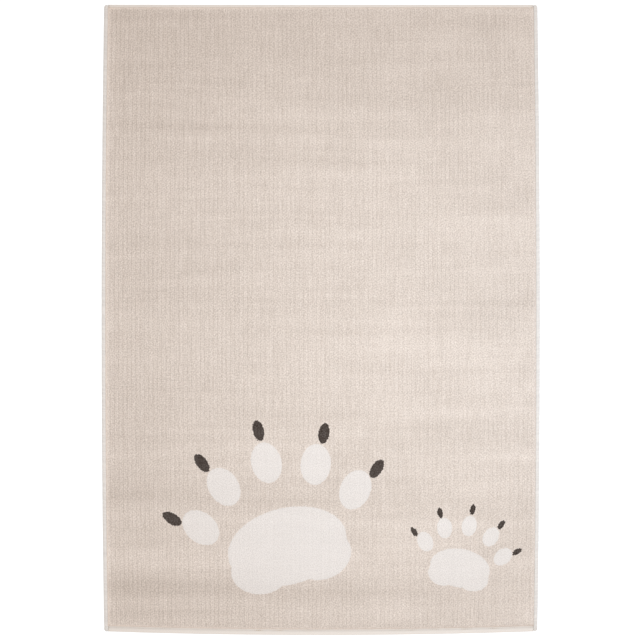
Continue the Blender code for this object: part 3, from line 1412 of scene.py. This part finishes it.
@dataclass
class OvercastSide:
    """Yarn wound over one long side, turn beside turn, on the cloth's edge."""

    outline: Outline
    side: int
    finish: Material
    core_finish: Material
    pitch: float = 0.0032
    yarn_half_width: float = 0.00185
    yarn_half_height: float = 0.00095
    width_spread: float = 0.05
    inset_spread: float = 0.00014
    slant: float = 0.0011
    slant_spread: float = 0.0003
    slant_end: int = 40
    squareness: tuple[float, float] = (0.45, 0.65)
    end_round: float = 0.0085
    end_taper: float = 0.80
    core_inset: float = 1.1
    core_end: float = 0.3
    core_tone: float = 0.3
    seed: int = 5

    def __post_init__(self) -> None:
        """Reads the bead's size from the frame."""
        self.node = "overcast_right" if self.side > 0 else "overcast_left"
        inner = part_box("woven_cloth")[1].x
        self.middle = (self.outline.half_width + inner) / 2
        self.half_width = (self.outline.half_width - inner) / 2
        self.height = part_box(self.node)[1].z

    def wrap(self, piece: Piece, v: Points, inset: Points | float) -> None:
        """Lays a piece round the bead, which closes in at its two ends.

        Args:
            piece: The piece, whose angles go round the bead.
            v: Each point's place along the flat pattern.
            inset: How far each point is drawn in from the bead's surface.
        """
        out, up = np.cos(piece.angle), np.sin(piece.angle)
        under, over = self.squareness
        power = np.where(up < 0, under, over)
        half_height = self.height / 2
        from_start = (np.abs(v) - self.outline.half_length) / self.end_round + 1
        closing = np.sqrt(1 - (self.end_taper * np.clip(from_start, 0, 1)) ** 2)
        reach = squared(out, power) * (self.half_width - inset) * closing
        rise = squared(up, power) * (half_height - inset) * closing
        u = self.side * (self.middle + reach)
        z = half_height * closing + rise
        piece.lay_out(self.outline, u, v, z, mirrored=self.side > 0)

    def build_turns(self) -> bpy.types.Object:
        """Builds the turns of yarn.

        Returns:
            The piece.
        """
        half_length = self.outline.half_length
        count = int(2 * half_length / self.pitch)
        turns = Rings(f"{self.node}_turns", 6, 11, copies=count, seed=self.seed + self.side)
        sunk = np.abs(turns.vary(0.0, self.inset_spread))
        inset = self.yarn_half_height * (1 - turns.outwards) + sunk
        start = self.yarn_half_width - half_length
        step = (2 * half_length - 2 * self.yarn_half_width) / (count - 1)
        v = turns.each(start + step * np.arange(count))
        v = v + turns.sideways * self.yarn_half_width * turns.vary(1.0, self.width_spread)
        slant = np.cos(turns.angle) * turns.vary(self.slant, self.slant_spread)
        v = v + slant * (1 - np.abs(v / half_length) ** self.slant_end)
        self.wrap(turns, np.clip(v, -half_length, half_length), inset)
        turns.paint_strands()
        return turns.dress(self.finish, "overcast_cream", self.node)

    def build_core(self) -> bpy.types.Object:
        """Builds the cloth's padded edge, which shows between the turns.

        Returns:
            The piece.
        """
        core = Tubes(f"{self.node}_core", sides=12, rings=48)
        half_length = self.outline.half_length - self.core_end * self.yarn_half_width
        v = (2 * core.up - 1) * half_length
        self.wrap(core, v, self.core_inset * self.yarn_half_height)
        core.paint(STRAND_LAYER, self.core_tone)
        return core.dress(self.core_finish, "overcast_cream", self.node)

    def build(self) -> list[bpy.types.Object]:
        """Builds the side's turns and its core."""
        return [self.build_turns(), self.build_core()]


@dataclass
class Binding:
    """A tape folded over one end of the rug, and sewn down through a row of stitches."""

    outline: Outline
    end: End
    finish: Material
    thread: Material
    squareness: float = 0.5
    waves: int = 90
    wave_height: float = 0.00022
    crown_drop: float = 0.0003
    clearance: float = 0.0002
    groove_depth: float = 0.0020
    groove_half_width: float = 0.0026
    groove_shade: float = 0.15
    pucker: float = 0.00050
    stitch_pitch: float = 0.0060
    stitch_inset: float = 0.0062
    stitch_share: float = 0.82
    stitch_wander: float = 0.00016
    stitch_sink: float = 0.0005
    stitch_bow: float = 0.0011
    thread_radius: float = 0.00062
    thread_taper: float = 0.45
    seed: int = 3

    def __post_init__(self) -> None:
        """Reads the tape's size from the frame. Only the front one shows its stitches."""
        self.sewn = self.end == End.FRONT
        self.node = "binding_front" if self.sewn else "binding_back"
        low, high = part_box("woven_cloth")
        self.inner = -low.y if self.sewn else high.y
        self.half_span = high.x
        self.width = self.outline.half_length - self.inner
        self.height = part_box(self.node)[1].z

    def groove(self, from_inner: Points) -> Points:
        """1 along the row of stitches, falling to 0 beside it, and 0 where there is none."""
        across = np.exp(-(((from_inner - self.stitch_inset) / self.groove_half_width) ** 2))
        return across * self.sewn

    def lay_out(self, piece: Piece, u: Points, from_inner: Points, z: Points) -> None:
        """Lays a piece on the end of the rug.

        Args:
            piece: The piece.
            u: Each point's place across the flat pattern.
            from_inner: How far each point is from the tape's inner edge.
            z: Each point's height.
        """
        v = self.end.value * (self.inner + from_inner)
        piece.lay_out(self.outline, u, v, z, mirrored=self.end == End.FRONT)

    def build_tape(self) -> bpy.types.Object:
        """Builds the folded tape.

        Returns:
            The piece.
        """
        sides, rings = (28, 430) if self.sewn else (16, 160)
        tape = Tubes(f"{self.node}_tape", sides, rings, seed=self.seed)
        out, up = np.cos(tape.angle), np.sin(tape.angle)
        from_inner = self.width / 2 * (1 + squared(out, self.squareness))
        u = (2 * tape.up - 1) * self.half_span
        z = self.height / 2 * (1 + squared(up, self.squareness))
        waves = tape.rng.normal(0, self.wave_height, self.waves)
        slow = np.interp(u, np.linspace(-1, 1, self.waves), waves)
        groove = self.groove(from_inner)
        pulled_down = self.groove_depth + self.pucker * np.cos(2 * math.pi * u / self.stitch_pitch)
        z = np.where(up > 0, z - groove * pulled_down + slow * up - self.crown_drop * up, z)
        self.lay_out(tape, u, from_inner, np.maximum(z, self.clearance))
        # Painted shade along the stitched groove on the tape's top
        tape.paint(TONE_AND_PAINTED_LIGHT_LAYER, -self.groove_shade * groove * (up > 0))
        return tape.dress(self.finish, "binding_cream", self.node)

    def build_stitches(self) -> bpy.types.Object:
        """Builds the thread that shows in the groove.

        Returns:
            The piece.
        """
        pitch = self.stitch_pitch
        count = int(2 * self.half_span / pitch)
        thread = Tubes(f"{self.node}_stitches", 6, 6, copies=count, seed=self.seed + 1)
        centre = thread.each((np.arange(count) + 0.5) * pitch) - count * pitch / 2
        bow = np.sin(math.pi * thread.up)
        radius = self.thread_radius * (1 - self.thread_taper + self.thread_taper * bow)
        u = centre + (thread.up - 0.5) * pitch * self.stitch_share
        wander = thread.vary(0, self.stitch_wander)
        from_inner = self.stitch_inset + thread.across * radius + wander
        base = self.height - self.groove_depth - self.stitch_sink
        z = base + self.stitch_bow * bow + thread.ahead * radius
        self.lay_out(thread, u, from_inner, z)
        thread.paint_strands()
        return thread.dress(self.thread, "binding_cream", self.node)

    def build(self) -> list[bpy.types.Object]:
        """Builds the tape, and its stitches where they show."""
        tape = self.build_tape()
        return [tape, self.build_stitches()] if self.sewn else [tape]


# Stage


@dataclass(frozen=True)
class Softbox:
    """A large soft light that hangs over the rug."""

    name: str
    place: tuple[float, float, float]
    aim: tuple[float, float, float]
    width: float
    height: float
    power: float
    colour: Colour

    def build(self) -> None:
        """Hangs the light."""
        lamp = bpy.data.lights.new(self.name, "AREA")
        lamp.shape = "RECTANGLE"
        lamp.size = self.width
        lamp.size_y = self.height
        lamp.energy = self.power
        lamp.color = self.colour
        holder = bpy.data.objects.new(self.name, lamp)
        bpy.context.scene.collection.objects.link(holder)
        holder.location = self.place
        towards = Vector(self.aim) - Vector(self.place)
        holder.rotation_euler = towards.to_track_quat("-Z", "Y").to_euler()


@dataclass(frozen=True)
class Stage:
    """The pale floor, the lights and the camera straight above the rug."""

    camera_height: float = 6.0
    camera_shift: float = -0.0026
    camera_range: float = 100.0
    seen_width: float = 1.942
    sensor: float = 36.0
    floor_colour: Colour = (0.93, 0.93, 0.93)
    floor_contrast: float = 1.01
    floor_grain: float = 9.0
    floor_glow: float = 0.35
    glow_colour: Colour = (0.80, 0.92, 1.0)
    floor_half: float = 60.0
    sky: Colour = (1.0, 0.885, 0.800)
    sky_strength: float = 0.66

    def build_floor(self) -> None:
        """Lays the floor."""
        bm = bmesh.new()
        bmesh.ops.create_grid(bm, x_segments=2, y_segments=2, size=self.floor_half)
        mesh = smooth_mesh(bm, "floor")
        nodes = Surface("floor_white")
        paler = tuple(part * self.floor_contrast for part in self.floor_colour)
        grain = nodes.noise(nodes.place, self.floor_grain)
        colour = nodes.mix(grain, (*self.floor_colour, 1), (*paler, 1))
        nodes.feed(
            nodes.shader,
            {
                "Base Color": colour,
                "Emission Color": (*self.glow_colour, 1),
                "Emission Strength": self.floor_glow,
            },
        )
        mesh.materials.append(nodes.material)
        floor = bpy.data.objects.new("floor", mesh)
        bpy.context.scene.collection.objects.link(floor)

    def build_lights(self) -> None:
        """Sets a cool softbox over the rug's right half, a faint one beside it, and warm light."""
        over_right = (0.30, -0.12)
        Softbox(
            name="key_light",
            place=(*over_right, 2.0),
            aim=(*over_right, 0.0),
            width=1.2,
            height=1.2,
            power=27.5,
            colour=(0.844, 0.933, 1.0),
        ).build()
        Softbox(
            name="side_light",
            place=(1.9, -0.12, 1.1),
            aim=(*over_right, 0.0),
            width=0.6,
            height=1.2,
            power=2.5,
            colour=(0.20, 0.60, 1.0),
        ).build()
        world = bpy.data.worlds.new("studio")
        world.use_nodes = True
        background = world.node_tree.nodes["Background"]
        background.inputs["Color"].default_value = (*self.sky, 1)
        background.inputs["Strength"].default_value = self.sky_strength
        bpy.context.scene.world = world

    def build_camera(self) -> None:
        """Hangs the camera."""
        lens = bpy.data.cameras.new("camera")
        lens.sensor_width = self.sensor
        lens.lens = self.sensor * self.camera_height / self.seen_width
        lens.clip_end = self.camera_range
        camera = bpy.data.objects.new("camera", lens)
        bpy.context.scene.collection.objects.link(camera)
        camera.location = (self.camera_shift, 0.0, self.camera_height)
        bpy.context.scene.camera = camera
        bpy.context.scene.view_settings.view_transform = "Standard"
        bpy.context.scene.view_settings.look = "None"

    def build(self) -> None:
        """Builds the whole stage."""
        self.build_floor()
        self.build_lights()
        self.build_camera()


def main() -> None:
    """Builds the stage and the rug, and reports each piece."""
    logging.basicConfig(level=logging.INFO, format="%(name)s: %(message)s")
    Stage().build()
    outline = Outline.of_frame()
    effects = Effects()
    pile_finish = PileFinish().material(effects)
    rim_finish = TuftFinish(PileFinish.sand).material(effects)
    overcast_yarn = YarnFinish("overcast_yarn", (0.870, 0.848, 0.822)).material(effects)
    overcast_core = YarnFinish("overcast_core", (0.800, 0.770, 0.740)).material(effects)
    thread = YarnFinish("binding_thread", (0.760, 0.710, 0.660), ply_pitch=0.0009).material(effects)
    tape = ClothFinish(
        "binding_tape",
        warp=(0.900, 0.850, 0.800),
        weft=(0.860, 0.805, 0.755),
        pitch=0.0011,
        relief=0.0002,
    ).material(effects)
    backing = ClothFinish(
        "ground_weave",
        warp=(0.640, 0.560, 0.460),
        weft=(0.560, 0.470, 0.370),
        pitch=0.0033,
        relief=0.0005,
    ).material(effects)

    tracks = (
        Track(centre=(-0.115, -0.635), size=0.40, turn=14.0),
        Track(centre=(0.430, -0.730), size=0.20, turn=-12.0),
    )
    roll_marks = (
        RollMark(along=0.920, half_width=0.030, shade=-0.040),
        RollMark(along=0.722, half_width=0.022, shade=-0.050, side=0.3),
        RollMark(along=0.620, half_width=0.022, shade=0.025),
        RollMark(along=0.577, half_width=0.011, shade=-0.045, side=-1.0),
        RollMark(along=0.420, half_width=0.160, shade=0.030, side=-1.0),
        RollMark(along=0.225, half_width=0.020, shade=-0.030, side=-1.0),
        RollMark(along=0.055, half_width=0.009, shade=-0.060, side=0.8),
        RollMark(along=-0.010, half_width=0.020, shade=0.035, side=0.6),
        RollMark(along=-0.343, half_width=0.013, shade=0.040, side=-0.9),
        RollMark(along=-0.550, half_width=0.020, shade=-0.060, side=-0.9),
        RollMark(along=-0.615, half_width=0.013, shade=0.040),
        RollMark(along=-0.744, half_width=0.026, shade=0.050, side=-1.0),
        RollMark(along=-0.825, half_width=0.030, shade=-0.090, side=-0.6),
    )
    pile = Pile(outline, tracks, roll_marks, pile_finish)
    on_cloth = pile.build()
    on_cloth += RimTufts(pile, rim_finish).build()
    for side in (-1, 1):
        on_cloth += OvercastSide(outline, side, overcast_yarn, overcast_core).build()
    for end in End:
        on_cloth += Binding(outline, end, tape, thread).build()
    ground = Ground(outline, backing)
    cloth = ground.build()
    for piece in (*on_cloth, cloth):
        triangles = sum(polygon.loop_total - 2 for polygon in piece.data.polygons)
        log.info("%s: %d triangles, finish %s", piece.name, triangles, piece.data.materials[0].name)


if __name__ == "__main__":
    main()
